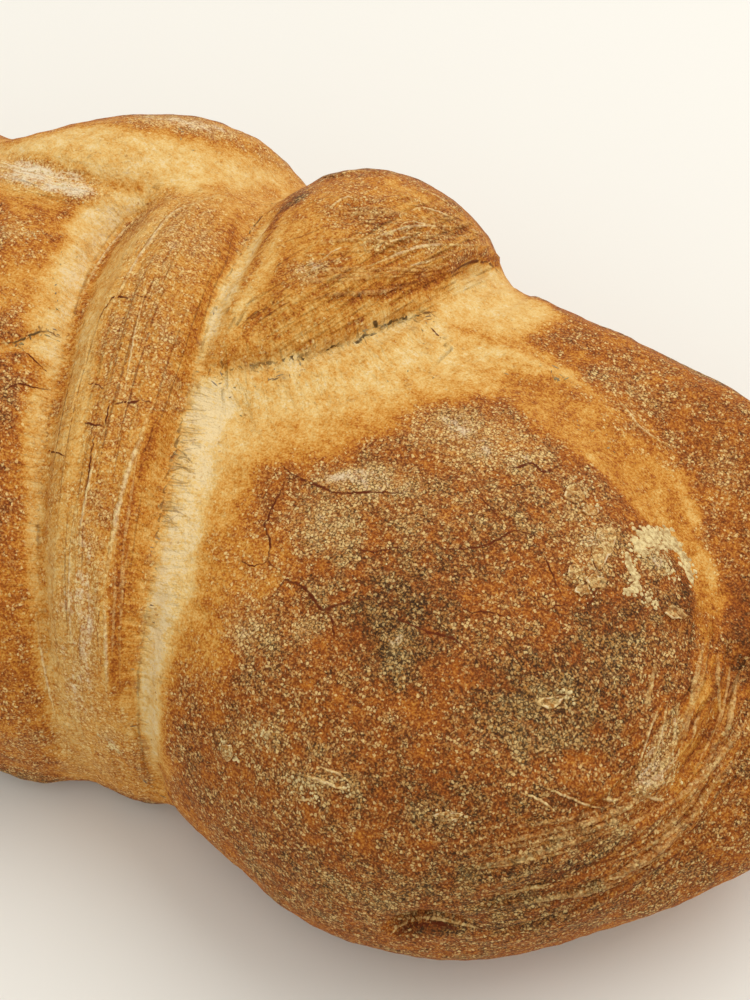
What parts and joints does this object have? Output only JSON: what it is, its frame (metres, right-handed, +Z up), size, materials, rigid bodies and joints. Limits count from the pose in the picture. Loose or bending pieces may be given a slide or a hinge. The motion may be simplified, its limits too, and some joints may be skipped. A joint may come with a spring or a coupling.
{
  "type": "lavender wheat bread",
  "caption": "Large plaited wheat loaf: thick crossing strands behind a fat round head, browned floury crust with pale stretched seams and lavender bits.",
  "frame": {"origin": "middle of the loaf's bounding box on the surface it rests on", "axes": "+X along the loaf towards the round head, +Y across it towards the far side, +Z up"},
  "size_m": [0.335, 0.1802, 0.0886],
  "materials": {
    "crust": "dry browned bread crust, mottled, dusted with flour, pale and silky in the stretched seams"
  },
  "bodies": {
    "root": {"loaf": "crust"}
  },
  "joints": []
}
